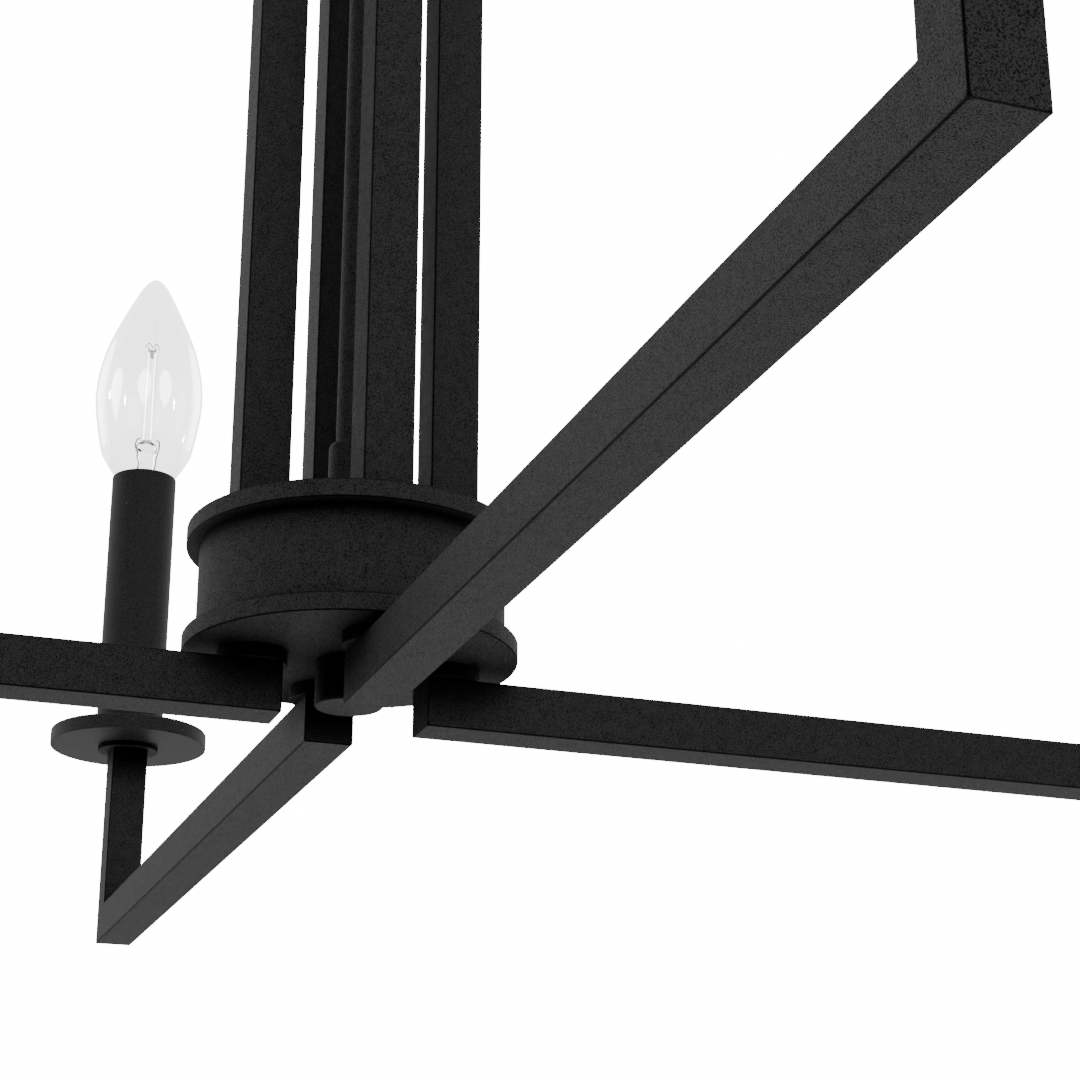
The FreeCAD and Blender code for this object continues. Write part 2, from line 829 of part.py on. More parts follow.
save("candle_washers", loose(at_candles(candle_washer())))
save("candle_nipples", loose(at_candles(candle_nipple())))
save("socket_brackets", loose(at_candles(socket_bracket())))
save("lamp_sockets", loose(at_candles(lamp_socket())))

for name, (angle, reach) in arms.items():
    save("column_bar_" + name, turned(column_bar(), angle))
    save("arm_" + name, turned(arm(reach), angle))
    save("upright_" + name, turned(upright(reach), angle))
    save("drip_pan_" + name, at_candle(drip_pan(), name))
    save("candle_sleeve_" + name, at_candle(candle_sleeve(), name))
    save("bulb_glass_" + name, at_candle(bulb_glass(), name))
    save("bulb_cap_" + name, at_candle(bulb_cap(), name))
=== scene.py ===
import math

import bmesh
import bpy
import numpy as np
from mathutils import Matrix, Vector


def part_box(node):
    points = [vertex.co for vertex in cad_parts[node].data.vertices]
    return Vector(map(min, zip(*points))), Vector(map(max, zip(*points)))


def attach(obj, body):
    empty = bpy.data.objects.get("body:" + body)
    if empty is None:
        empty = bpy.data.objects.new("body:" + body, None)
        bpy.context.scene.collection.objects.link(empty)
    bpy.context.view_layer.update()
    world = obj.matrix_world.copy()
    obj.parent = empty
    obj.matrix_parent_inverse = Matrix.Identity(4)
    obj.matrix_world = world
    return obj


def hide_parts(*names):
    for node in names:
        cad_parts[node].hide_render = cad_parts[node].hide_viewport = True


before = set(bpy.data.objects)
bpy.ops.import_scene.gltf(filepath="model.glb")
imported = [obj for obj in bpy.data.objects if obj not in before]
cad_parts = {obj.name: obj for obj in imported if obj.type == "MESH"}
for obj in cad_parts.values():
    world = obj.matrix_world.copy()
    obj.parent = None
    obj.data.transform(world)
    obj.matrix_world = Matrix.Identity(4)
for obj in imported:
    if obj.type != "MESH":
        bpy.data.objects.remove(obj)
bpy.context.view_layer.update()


# ---------------------------------------------------------------- ceiling strap and its fittings
# A pressed steel strap, screwed to the ceiling box, with two studs, a threaded tube and a green
# earthing screw. It is bright zinc-plated steel, and so are the screws, plugs, threaded tubes and
# brackets that are hidden further down in the lamp.

def linear(colour):
    """sRGB hex to linear RGBA: a channel c becomes ((c + 0.055) / 1.055) ^ 2.4, or c / 12.92 where dark."""
    c = np.array([int(colour[i:i + 2], 16) for i in (1, 3, 5)]) / 255
    return (*np.where(c > 0.04045, ((c + 0.055) / 1.055) ** 2.4, c / 12.92).tolist(), 1.0)


def add(tree, kind, inputs=None, **settings):
    """One node with its settings, where each input is a constant or another node's output."""
    node = tree.nodes.new("ShaderNode" + kind)
    for name, value in settings.items():
        setattr(node, name, value)
    for socket, value in (inputs or {}).items():
        if isinstance(value, bpy.types.NodeSocket):
            tree.links.new(value, node.inputs[socket])
        else:
            node.inputs[socket].default_value = value
    return node


def noise(tree, per_metre, detail, **more):
    """Noise in the piece's own coordinates, with so many hills to the metre."""
    place = add(tree, "TexCoord").outputs["Object"]
    return add(tree, "TexNoise", {"Vector": place, "Scale": per_metre, "Detail": detail, **more}).outputs[0]


def remap(tree, value, before, after, smooth=False):
    """Value moved from the range before to the range after, straight or in an S curve, held at its ends."""
    inputs = {"Value": value, "From Min": before[0], "From Max": before[1],
              "To Min": after[0], "To Max": after[1]}
    return add(tree, "MapRange", inputs, interpolation_type="SMOOTHSTEP" if smooth else "LINEAR").outputs[0]


def blend(tree, share, dark, light):
    """Colour that goes from the first sRGB hex colour to the second as the share goes from 0 to 1."""
    return add(tree, "Mix", {0: share, 6: linear(dark), 7: linear(light)}, data_type="RGBA").outputs[2]


def new_material(name):
    """Empty material and its node tree."""
    material = bpy.data.materials.new(name)
    material.use_nodes = True
    material.node_tree.nodes.clear()
    return material, material.node_tree


def surface(tree, inputs):
    """Principled shader with its inputs, as the material's surface."""
    shader = add(tree, "BsdfPrincipled", inputs)
    add(tree, "OutputMaterial", {"Surface": shader.outputs[0]})


def dress(material, *names):
    """Gives CAD nodes that stay in view their finish."""
    for name in names:
        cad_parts[name].data.materials.clear()
        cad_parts[name].data.materials.append(material)


def zinc_plated_steel():
    """Barrel-plated zinc on cold-formed steel: cool bright grey, clouded at 8 mm, with a 0.5 mm grain."""
    material, tree = new_material("zinc_plated_steel")
    cloud = noise(tree, 120.0, 3.0)
    grain = noise(tree, 2000.0, 2.0)
    bump = add(tree, "Bump", {"Height": grain, "Strength": 0.25, "Distance": 0.0001}).outputs[0]
    surface(tree, {"Base Color": blend(tree, cloud, "#9da1a6", "#c6c9cb"), "Metallic": 1.0,
                   "Roughness": remap(tree, grain, (0.0, 1.0), (0.22, 0.46)), "Normal": bump})
    return material


def green_zinc():
    """Green-dyed zinc, the colour code of an earthing screw: metal shows through the 1 mm clouds of dye."""
    material, tree = new_material("green_dyed_zinc")
    cloud = noise(tree, 900.0, 3.0)
    surface(tree, {"Base Color": blend(tree, cloud, "#16602c", "#2f8b47"), "Metallic": 0.6,
                   "Roughness": 0.38})
    return material


zinc = zinc_plated_steel()
dress(zinc, "mounting_bar", "canopy_studs", "canopy_nipple", "canopy_lock_nut", "column_nipples",
      "column_lock_nuts", "bar_screws", "arm_screws", "tube_end_blocks", "candle_nipples", "socket_brackets")
dress(green_zinc(), "ground_screw")


# ---------------------------------------------------------------- canopy
# A shallow steel cup, spun with a rounded corner and open to the ceiling, which hides the box.
# It is black powder coat outside and in, and hangs on two round nuts and the centre nipple.

def powder_coat(name, reach):
    """Fine-textured black powder coat, baked on steel. The powder flows into an even charcoal coat of
    0.25 mm hills with small dull black pits, a few more of them in some 3 mm patches than in others.
    Painted shade: every sharp edge is painted as a thin black line, and the coat is painted black and
    dull wherever another surface is nearer than the reach in mm, reckoned by ambient occlusion about the
    normal plus half of straight up, so that the shade falls as if from above. The attribute edge
    is 1 on a sharp edge and 0 from 1 mm off."""
    material, tree = new_material(name)
    hills = noise(tree, 3800.0, 2.0, Roughness=0.55)
    patch = noise(tree, 330.0, 2.0)
    deep = remap(tree, patch, (0.35, 0.65), (0.31, 0.36))
    level = add(tree, "Math", {0: deep, 1: 0.2}, operation="ADD").outputs[0]
    pits = remap(tree, hills, (deep, level), (0.0, 1.0), smooth=True)

    # Painted shade: a thin black line along every sharp edge, ragged with the hills.
    near_edge = add(tree, "Attribute", attribute_name="edge").outputs["Fac"]
    ragged = add(tree, "Math", {0: hills, 1: 0.9, 2: near_edge}, operation="MULTIPLY_ADD").outputs[0]
    clear_of_edge_shade = remap(tree, ragged, (1.18, 1.32), (1.0, 0.0), smooth=True)

    # Painted shade: an ambient occlusion test, tilted half towards straight up, darkens and dulls the coat
    # where another surface is near.
    facing = add(tree, "NewGeometry").outputs["Normal"]
    raised = add(tree, "VectorMath", {0: facing, 1: (0.0, 0.0, 0.5)}, operation="ADD").outputs[0]
    raised = add(tree, "VectorMath", {0: raised}, operation="NORMALIZE").outputs[0]
    painted_occlusion = add(tree, "AmbientOcclusion", {"Distance": reach * 0.001, "Normal": raised}, samples=12)
    unshaded_share = remap(tree, painted_occlusion.outputs["AO"], (0.48, 0.84), (0.0, 1.0))

    # The pits are the coat's own colour; the edge line and the occlusion are painted shade, in the colour and
    # in the gloss.
    pits_and_painted_shade = add(tree, "Math", {0: pits, 1: clear_of_edge_shade}, operation="MULTIPLY").outputs[0]
    pits_and_painted_shade = add(tree, "Math", {0: pits_and_painted_shade, 1: unshaded_share}, operation="MULTIPLY").outputs[0]
    bump = add(tree, "Bump", {"Height": hills, "Strength": 0.6, "Distance": 0.0003}).outputs[0]
    surface(tree, {"Base Color": blend(tree, pits_and_painted_shade, "#030303", "#2c2c2c"),
                   "Specular Tint": blend(tree, pits_and_painted_shade, "#141414", "#ffffff"),
                   "Roughness": remap(tree, hills, (0.3, 0.7), (0.72, 0.5)), "IOR": 1.5, "Normal": bump})
    return material


def outline(corners, steps=6):
    """Closed outline in mm through (r, z, radius) corners. Each corner becomes the arc of its radius that
    touches both sides: with a and b the unit directions to the two neighbours, its centre is on their
    bisector. No radius is under 0.02 mm. Returns r, z and the edge value, 1 at the middle of each corner
    and 0 from 1 mm off along the line."""
    pieces = []
    spots = np.array([c[:2] for c in corners], float)
    for i, corner in enumerate(corners):
        here, a, b = spots[i], spots[i - 1] - spots[i], spots[(i + 1) % len(spots)] - spots[i]
        a, b = a / np.linalg.norm(a), b / np.linalg.norm(b)
        half = math.acos(float(np.clip(a @ b, -1, 1))) / 2
        radius = max(corner[2], 0.02)
        middle = here + (a + b) / np.linalg.norm(a + b) * radius / math.sin(half)
        start = here + a * radius / math.tan(half) - middle
        end = here + b * radius / math.tan(half) - middle
        swing = math.pi - 2 * half
        k = np.linspace(0, 1, steps + 1)[:, None]
        arc = (np.sin((1 - k) * swing) * start + np.sin(k * swing) * end) / math.sin(swing)
        pieces.append(middle + arc)
    path = np.concatenate(pieces + [pieces[0][:1]])
    walked = np.concatenate([[0], np.cumsum(np.linalg.norm(np.diff(path, axis=0), axis=1))])
    marks = walked[np.arange(len(corners)) * (steps + 1) + steps // 2]
    beside = np.mod(np.concatenate([marks - 1, marks + 1]), walked[-1])
    stops = np.unique(np.concatenate([walked[:-1], beside]).round(6))
    off = np.abs(stops[:, None] - marks[None, :])
    off = np.minimum(off, walked[-1] - off).min(axis=1)
    return np.interp(stops, walked, path[:, 0]), np.interp(stops, walked, path[:, 1]), np.clip(1 - off, 0, 1)


def grid_piece(name, points, wrap, material, edge=None, crease=40):
    """Mesh over a grid of points in mm: every cell is a quad, a wrapped direction joins its last row to its
    first, rows that meet in a pole are merged, and edges sharper than the crease angle stay sharp."""
    rows, columns = points.shape[:2]
    index = np.arange(rows * columns).reshape(rows, columns)
    down, right = np.roll(index, -1, 0), np.roll(index, -1, 1)
    cells = np.stack([index, right, np.roll(down, -1, 1), down], -1)
    cells = cells[:rows if wrap[0] else rows - 1, :columns if wrap[1] else columns - 1].reshape(-1, 4)
    mesh = bpy.data.meshes.new(name)
    mesh.from_pydata((points.reshape(-1, 3) * 0.001).tolist(), [], cells.tolist())
    # The edge value marks where the powder coat paints its black line of shade.
    if edge is not None:
        attribute = mesh.attributes.new("edge", "FLOAT", "POINT")
        attribute.data.foreach_set("value", edge.ravel().astype(np.float32))
    work = bmesh.new()
    work.from_mesh(mesh)
    bmesh.ops.remove_doubles(work, verts=work.verts, dist=1e-7)
    bmesh.ops.recalc_face_normals(work, faces=work.faces)
    work.to_mesh(mesh)
    work.free()
    mesh.shade_smooth()
    mesh.set_sharp_from_angle(angle=math.radians(crease))
    mesh.materials.append(material)
    piece = bpy.data.objects.new(name, mesh)
    bpy.context.scene.collection.objects.link(piece)
    return piece


def full_turn(steps):
    """Column of angles, evenly round a circle."""
    return np.linspace(0, 2 * np.pi, steps, endpoint=False)[:, None]


def lathe(r, z, at, t, squash=1.0):
    """Line turned about an upright axis at the spot (x0, y0): (r, z) at angle t goes to (x0 + r cos t,
    y0 + s r sin t, z), where s is the squash."""
    return np.stack([at[0] + r * np.cos(t), at[1] + r * squash * np.sin(t), z + 0 * t], -1)


def turned(name, profile, material, at=(0.0, 0.0), around=96):
    """Round piece: a closed outline turned about an upright axis."""
    r, z, edge = profile
    points = lathe(r, z, at, full_turn(around))
    return grid_piece(name, points, (True, True), material, np.tile(edge, (around, 1)))


def fit(piece, body, slot, *nodes):
    """Puts a finished piece on its body, in place of its CAD nodes."""
    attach(piece, body)
    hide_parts(*nodes)


def heights(node):
    """Lowest and highest z of a CAD node, in mm."""
    low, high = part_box(node)
    return low.z * 1000, high.z * 1000


# Coat whose painted shade falls within 18 mm of another surface.
black_coat = powder_coat("black_textured_powder_coat", 18)
canopy_radius, canopy_corner, canopy_hole, canopy_wall = 65.0, 8.0, 5.0, 1.2
low, high = heights("canopy")
inside = low + canopy_wall
cup = outline([(canopy_radius, high, 0.3), (canopy_radius, low, canopy_corner), (canopy_hole, low, 0.2),
               (canopy_hole, inside, 0.2), (canopy_radius - canopy_wall, inside, canopy_corner - canopy_wall),
               (canopy_radius - canopy_wall, high, 0.3)], steps=10)
fit(turned("canopy_cup", cup, black_coat, around=160), "ceiling_mount", "black_powder_coat", "canopy")
dress(black_coat, "canopy_ball_nuts")


# ---------------------------------------------------------------- swivel
# A fork that turns on the canopy's nipple and a knuckle that tilts on its pin, so that the
# stem hangs straight under a sloped ceiling. Both are turned and milled, then powder coated.

dress(black_coat, "swivel_yoke", "swivel_pin", "swivel_knuckle")


# ---------------------------------------------------------------- stem
# Two lengths of round steel tube, joined by a collar over a threaded tube inside, so that the
# drop can be changed. The collar's rims are rounded over.

def ring(node, radius, bore, rim=0.3, bore_rim=0.1, steps=6):
    """Outline of a plain tube or disc as high as its CAD node, with its outer and inner rims rounded."""
    low, high = heights(node)
    corners = [(radius, low, rim), (radius, high, rim), (bore, high, bore_rim), (bore, low, bore_rim)]
    return outline(corners, steps)


stem_radius, stem_bore, stem_collar_radius = 6.5, 5.05, 9.0
nipple_hole = 5.02
for name in ("stem_upper", "stem_lower"):
    tube = ring(name, stem_radius, stem_bore)
    fit(turned(name + "_tube", tube, black_coat, around=72), "pendant", "black_powder_coat", name)

collar = ring("stem_collar", stem_collar_radius, nipple_hole, rim=1.5, steps=10)
fit(turned("stem_joint_collar", collar, black_coat), "pendant", "black_powder_coat", "stem_collar")


# ---------------------------------------------------------------- top of the column
# A spun cap, rolled at the lip and drawn up to a neck under the stem, sits on the column's
# round top plate. One nut on the threaded tube clamps the two together.

drum_radius, plate_radius = 36.3, 39.4
cap_wall, cap_rise, cap_shoulder, cap_neck, cap_sweep = 1.6, 10.0, 7.0, 9.0, 9.0
low, high = heights("top_cap")
top, under, neck_top = low + cap_rise, low + cap_rise - cap_wall, high - cap_wall
cap_bore, neck_bore = drum_radius - cap_wall, cap_neck - cap_wall
cap = outline([(drum_radius, low, 0.3), (drum_radius, top, cap_shoulder), (cap_neck, top, cap_sweep),
               (cap_neck, high, 0.8), (nipple_hole, high, 0.1), (nipple_hole, neck_top, 0.1),
               (neck_bore, neck_top, 0.3), (neck_bore, under, cap_sweep + cap_wall),
               (cap_bore, under, cap_shoulder - cap_wall), (cap_bore, low, 0.2)], steps=14)
fit(turned("spun_cap", cap, black_coat, around=144), "pendant", "black_powder_coat", "top_cap")


def column_disc(name, node):
    """Round plate of the column, with sharp rims just broken and a hole for the threaded tube."""
    disc = ring(node, plate_radius, nipple_hole, rim=0.4)
    fit(turned(name, disc, black_coat, around=160), "pendant", "black_powder_coat", node)


column_disc("top_disc", "top_plate")


# ---------------------------------------------------------------- column bars
# Four lengths of 12 mm square steel tube stand between the plates, each screwed up and down
# into a tapped plug in its ends. The tube's own edges are rounded only half a millimetre.

tube_half, tube_wall, tube_edge = 6.0, 1.2, 0.5
bore_share = (tube_half - tube_wall) / tube_half
mitre_corner = tube_half - tube_edge - 0.05
bar_ring = 23.4
long_reach, short_reach = 500.0, 298.0
arms = {"right": (0, long_reach), "back": (90, short_reach), "left": (180, long_reach),
        "front": (270, short_reach)}


def square_edge():
    """Outline of the square tube, seen along it: two coordinates about its middle, and the edge value."""
    corners = ((1, -1), (1, 1), (-1, 1), (-1, -1))
    return outline([(p * tube_half, q * tube_half, tube_edge) for p, q in corners])


def swung(points, degrees):
    """Points turned about the column's axis: (x, y) goes to (x cos a - y sin a, x sin a + y cos a)."""
    a = math.radians(degrees)
    x, y, z = np.moveaxis(points, -1, 0)
    return np.stack([x * math.cos(a) - y * math.sin(a), x * math.sin(a) + y * math.cos(a), z], -1)


def standing_tube(name, x, foot, head, degrees, mitred=False):
    """Hollow square tube that stands at x on an arm's line: the outline goes up the outside from foot to
    head, over the rim, and down the bore, whose outline is the outer one drawn in by the wall. A mitred foot
    lies at foot + half the tube - p, where p is a point's place across the tube, towards the arm's outer
    end."""
    p, q, edge = square_edge()
    flat = 0 * p
    foot_out, foot_in, sill = foot + flat, foot + flat, 1 + flat
    if mitred:
        foot_out, foot_in = foot + tube_half - p, foot + tube_half - p * bore_share
        sill = np.where(p > mitre_corner, 1.0, edge)
    rows = [(1, foot_out, sill), (1, foot_out + 1, edge), (1, head - 1 + flat, edge),
            (1, head + flat, 1 + flat), (bore_share, head + flat, 1 + flat), (bore_share, foot_in, edge)]
    points = np.stack([np.stack([x + p * size, q * size, z], -1) for size, z, _ in rows])
    edges = np.stack([row[2] for row in rows])
    return grid_piece(name, swung(points, degrees), (True, True), black_coat, edges)


for side, (degrees, reach) in arms.items():
    low, high = heights("column_bar_" + side)
    bar = standing_tube("column_tube_" + side, bar_ring, low, high, degrees)
    fit(bar, "pendant", "black_powder_coat", "column_bar_" + side)


# ---------------------------------------------------------------- centre rod
# A plain round tube down the middle of the column. A round-shouldered coupling at each end takes
# it and the threaded tube that comes through the plate. Their coat paints shade only where another
# surface is within 6 mm, so the bars round the rod leave it unshaded and only the couplings' shoulders get
# painted shade.

# Coat whose painted shade falls only within 6 mm of another surface.
rod_coat = powder_coat("black_textured_powder_coat_rod", 6)
rod_radius, rod_bore = 4.9, 3.7
rod = ring("centre_rod", rod_radius, rod_bore, rim=0.2, bore_rim=0.2)
fit(turned("middle_rod", rod, rod_coat, around=64), "pendant", "black_powder_coat", "centre_rod")

coupling_radius, coupling_bore, coupling_length = 6.5, 4.93, 23.6
low, high = heights("rod_couplings")
for end, foot, top in (("lower", low, low + coupling_length), ("upper", high, high - coupling_length)):
    coupling = outline([(coupling_radius, foot, 0.3), (coupling_radius, top, 1.5), (coupling_bore, top, 0.05),
                        (coupling_bore, foot, 0.1)], steps=10)
    piece = turned("rod_coupling_" + end, coupling, rod_coat, around=64)
    fit(piece, "pendant", "black_powder_coat", "rod_couplings")


# ---------------------------------------------------------------- hub
# A drum of two round plates with a plain band between them, let into a shallow groove in each.
# Its round finial screws onto the tube's lower end and holds the drum together.

column_disc("hub_top_disc", "hub_plate")
column_disc("hub_base_disc", "hub_base")

band_wall = 1.5
r, z, edge = ring("hub_band", drum_radius, drum_radius - band_wall, rim=0.1)
band = turned("hub_drum_band", (r, z, 0 * edge), black_coat, around=160)
fit(band, "pendant", "black_powder_coat", "hub_band")

finial_radius, axis = 8.0, 0.02
low, high = heights("finial")
knob = outline([(finial_radius, low, 0.6), (finial_radius, high, 0.1), (axis, high, 0), (axis, low, 0)],
               steps=8)
fit(turned("hub_finial", knob, black_coat, around=72), "pendant", "black_powder_coat", "finial")

spacer_radius, screw_hole = 8.2, 3.05
spacer = ring("arm_collars", spacer_radius, screw_hole, rim=0.25)
for side, (degrees, reach) in arms.items():
    a = math.radians(degrees)
    spot = (bar_ring * math.cos(a), bar_ring * math.sin(a))
    piece = turned("arm_spacer_" + side, spacer, black_coat, at=spot, around=64)
    fit(piece, "pendant", "black_powder_coat", "arm_collars")


# ---------------------------------------------------------------- arms and uprights
# The same square tube. Each arm is capped at the hub, and its outer end and the foot of its
# upright are cut at 45 degrees, welded, and ground flush, so no seam shows through the coat.

def level_arm(name, reach, low, degrees):
    """Arm along +x before it is swung round: from the bar's inner face to the mitre, where x is the reach
    less the height above the arm's underside. It goes out along the outside and back along the bore."""
    p, q, edge = square_edge()
    flat = 0 * p
    start = bar_ring - tube_half + flat
    mitre_out, mitre_in = reach - q - tube_half, reach - q * bore_share - tube_half
    corner = np.where(q < -mitre_corner, 1.0, edge)
    rows = [(1, start, 1 + flat), (1, start + 1, edge), (1, mitre_out - 1, edge), (1, mitre_out, corner),
            (bore_share, mitre_in, edge), (bore_share, start, flat)]
    points = np.stack([np.stack([x, p * size, low + tube_half + q * size], -1) for size, x, _ in rows])
    edges = np.stack([row[2] for row in rows])
    return grid_piece(name, swung(points, degrees), (True, True), black_coat, edges)


for side, (degrees, reach) in arms.items():
    low, high = heights("arm_" + side)
    arm = level_arm("arm_tube_" + side, reach, low, degrees)
    fit(arm, "pendant", "black_powder_coat", "arm_" + side)
    low, high = heights("upright_" + side)
    post = standing_tube("upright_tube_" + side, reach - tube_half, low, high, degrees, mitred=True)
    fit(post, "pendant", "black_powder_coat", "upright_" + side)

dress(black_coat, "arm_end_blocks")


# ---------------------------------------------------------------- drip pans
# A round steel dish with a plain upright side, its top rim softened, on a washer at the head of
# each upright. A hollow nipple clamps both.

def satin_black():
    """Satin black lacquer on steel tube: smoother than the powder coat, with an even 0.5 mm spray grain."""
    material, tree = new_material("satin_black_lacquer")
    spray = noise(tree, 2000.0, 2.0)
    fleck = remap(tree, spray, (0.39, 0.5), (0.0, 1.0))
    bump = add(tree, "Bump", {"Height": spray, "Strength": 0.5, "Distance": 0.0003}).outputs[0]
    surface(tree, {"Base Color": blend(tree, fleck, "#040404", "#292929"), "IOR": 1.42, "Normal": bump,
                   "Roughness": remap(tree, spray, (0.3, 0.7), (0.42, 0.52))})
    return material


lacquer = satin_black()
spots = {}
for side, (degrees, reach) in arms.items():
    a, out = math.radians(degrees), reach - tube_half
    spots[side] = (out * math.cos(a), out * math.sin(a))

washer_radius = 10.3
washer = ring("candle_washers", washer_radius, screw_hole)
for side, spot in spots.items():
    piece = turned("pan_washer_" + side, washer, black_coat, at=spot, around=72)
    fit(piece, "pendant", "black_powder_coat", "candle_washers")

pan_radius, pan_wall = 26.9, 1.2
low, high = heights("drip_pan_front")
dish = outline([(pan_radius, low, 0.25), (pan_radius, high, 0.6), (pan_radius - pan_wall, high, 0.55),
                (pan_radius - pan_wall, low + pan_wall, 0.8), (screw_hole, low + pan_wall, 0.1),
                (screw_hole, low, 0.1)], steps=8)
for side, spot in spots.items():
    piece = turned("drip_dish_" + side, dish, lacquer, at=spot, around=128)
    fit(piece, "pendant", "black_satin", "drip_pan_" + side)


# ---------------------------------------------------------------- candle sleeves and sockets
# A plain steel tube stands in each pan and hides the lamp socket, which sits on a bracket
# inside it. The socket is moulded phenolic, brown-black and half glossy.

sleeve_radius, sleeve_wall = 11.5, 0.8
sleeve_bore = sleeve_radius - sleeve_wall
low, high = heights("candle_sleeve_front")
sleeve = outline([(sleeve_radius, low, 0.2), (sleeve_radius, high, 0.35), (sleeve_bore, high, 0.35),
                  (sleeve_bore, low, 0.2)])
for side, spot in spots.items():
    piece = turned("candle_tube_" + side, sleeve, lacquer, at=spot)
    fit(piece, "pendant", "black_satin", "candle_sleeve_" + side)


def phenolic():
    """Compression-moulded phenolic: brown-black with faint flow marks of about 5 mm."""
    material, tree = new_material("moulded_phenolic")
    flow = noise(tree, 200.0, 4.0, Distortion=1.5)
    surface(tree, {"Base Color": blend(tree, flow, "#0f0d0c", "#1c1917"), "IOR": 1.6,
                   "Roughness": remap(tree, flow, (0.0, 1.0), (0.3, 0.45))})
    return material


dress(phenolic(), "lamp_sockets")


# ---------------------------------------------------------------- bulb glass
# A clear torpedo envelope, blown 0.6 mm thick. Into its neck is sealed the glass mount: a flare,
# pinched flat where the wires pass, and a thin rod with a button that holds up the filament.

def clear_glass():
    """Blown soda-lime glass, clear with the faintest grey, and wavy at about 17 mm."""
    material, tree = new_material("clear_soda_lime_glass")
    bump = add(tree, "Bump", {"Height": noise(tree, 60.0, 1.0), "Strength": 0.05, "Distance": 0.0005})
    surface(tree, {"Base Color": linear("#f7f7f7"), "Roughness": 0.0, "IOR": 1.45,
                   "Transmission Weight": 1.0, "Normal": bump.outputs[0]})
    return material


def smooth_line(knots, per=10):
    """Catmull-Rom line through (r, z) knots: between two knots it is the cubic whose slope at each knot is
    half the step between that knot's neighbours."""
    k = np.asarray(knots, float)
    k = np.concatenate([2 * k[:1] - k[1:2], k, 2 * k[-1:] - k[-2:-1]])
    t = np.linspace(0, 1, per, endpoint=False)[None, :, None]
    a, b, c, d = (k[i:len(k) - 3 + i, None] for i in range(4))
    curve = (2 * a - 5 * b + 4 * c - d) * t ** 2 + (3 * b - a - 3 * c + d) * t ** 3
    line = 0.5 * (2 * b + (c - a) * t + curve)
    return np.concatenate([line.reshape(-1, 2), k[-2:-1]])


glass = clear_glass()
cap_low, rim = heights("bulb_cap_front")
glass_low, tip = heights("bulb_glass_front")
glass_wall, bulb_neck, bulb_belly, bulb_height = 0.6, 5.3, 19.5, 92.3
torpedo = [(0.400, 0.060), (0.528, 0.122), (0.742, 0.196), (0.867, 0.263), (1.000, 0.464), (0.867, 0.653),
           (0.490, 0.848), (0.200, 0.965)]
flare = [(4.4, glass_low + 0.3), (4.1, rim + 4), (3.4, rim + 11), (3.1, rim + 16), (3.4, rim + 20),
         (4.0, rim + 23.5), (3.4, rim + 25.2), (1.9, rim + 26.4)]
glass_rod = [(1.6, rim + 29), (1.5, rim + 45), (1.5, rim + 59), (1.9, rim + 61), (1.5, rim + 62.5),
             (0.0, rim + 63)]
pinch_height = rim + 21


def bulb_outline(wall):
    """Torpedo outline from the neck to the tip, drawn in by the wall along its normal. The torpedo's knots
    are shares of the belly's radius and of the bulb's height above its cap."""
    knots = [(bulb_neck, glass_low + wall), (bulb_neck, rim - 0.5), (5.6, rim + 1.2)]
    knots += [(bulb_belly * r, rim + bulb_height * z) for r, z in torpedo] + [(0.0, tip)]
    line = smooth_line(knots)
    inward = np.gradient(line, axis=0)
    inward = np.stack([-inward[:, 1], inward[:, 0]], -1) / np.linalg.norm(inward, axis=1, keepdims=True)
    line = line + inward * wall
    line[:, 0] = np.clip(line[:, 0], 0, None)
    line[-1, 0] = 0
    return line


def bulb_envelope(side, spot):
    """Envelope: up the outer outline and down the inner one, turned about the candle's axis."""
    wall = np.concatenate([bulb_outline(0.0), bulb_outline(glass_wall)[::-1]])
    points = lathe(wall[:, 0], wall[:, 1], spot, full_turn(96))
    envelope = grid_piece("bulb_envelope_" + side, points, (True, True), glass, crease=80)
    fit(envelope, "bulb_" + side, "clear_glass", "bulb_glass_" + side)


def bulb_mount(side, spot):
    """Mount: the flare and rod turned about the candle's axis, and squashed to 45 percent from front to back
    at the pinch, by 1 - 0.55 exp(-(h / 5)^2) at a height h off it."""
    line = np.concatenate([[[0.0, flare[0][1]]], smooth_line(flare + glass_rod)])
    squash = 1 - 0.55 * np.exp(-((line[:, 1] - pinch_height) / 5) ** 2)
    points = lathe(line[:, 0], line[:, 1], spot, full_turn(96), squash)
    mount = grid_piece("bulb_mount_" + side, points, (True, False), glass, crease=80)
    fit(mount, "bulb_" + side, "clear_glass", "bulb_glass_" + side)


# ---------------------------------------------------------------- bulb wires
# Two thick copper-clad leads come up out of the flare and go on as thin nickel wires to the ends
# of the filament, which is a zigzag of fine coil. Two hooks in the rod's button hold it up.

def plated_metal(name, dark, light, rough, size):
    """Plated or drawn metal whose tone and gloss drift over patches of the given size in mm."""
    material, tree = new_material(name)
    drift = noise(tree, 1000.0 / size, 3.0)
    surface(tree, {"Base Color": blend(tree, drift, dark, light), "Metallic": 1.0,
                   "Roughness": remap(tree, drift, (0.0, 1.0), rough)})
    return material


def wire(name, path, radius, material, sides=8):
    """Round wire along a path in mm: at each point a circle of the radius stands across the path's
    direction, between two directions square to it and to each other, and the ends close in a point. The
    first of the two is also square to a slanting line that no wire here follows."""
    ahead = np.gradient(path, axis=0)
    ahead /= np.linalg.norm(ahead, axis=1, keepdims=True)
    across = np.cross(ahead, np.array([0.31, 0.95, 0.02]))
    across /= np.linalg.norm(across, axis=1, keepdims=True)
    third = np.cross(ahead, across)
    t = np.linspace(0, 2 * np.pi, sides, endpoint=False)[None, :, None]
    points = path[:, None] + radius * (np.cos(t) * across[:, None] + np.sin(t) * third[:, None])
    first, last = np.repeat(path[:1, None], sides, 1), np.repeat(path[-1:, None], sides, 1)
    points = np.concatenate([first, points, last])
    return grid_piece(name, points, (False, True), material, crease=60)


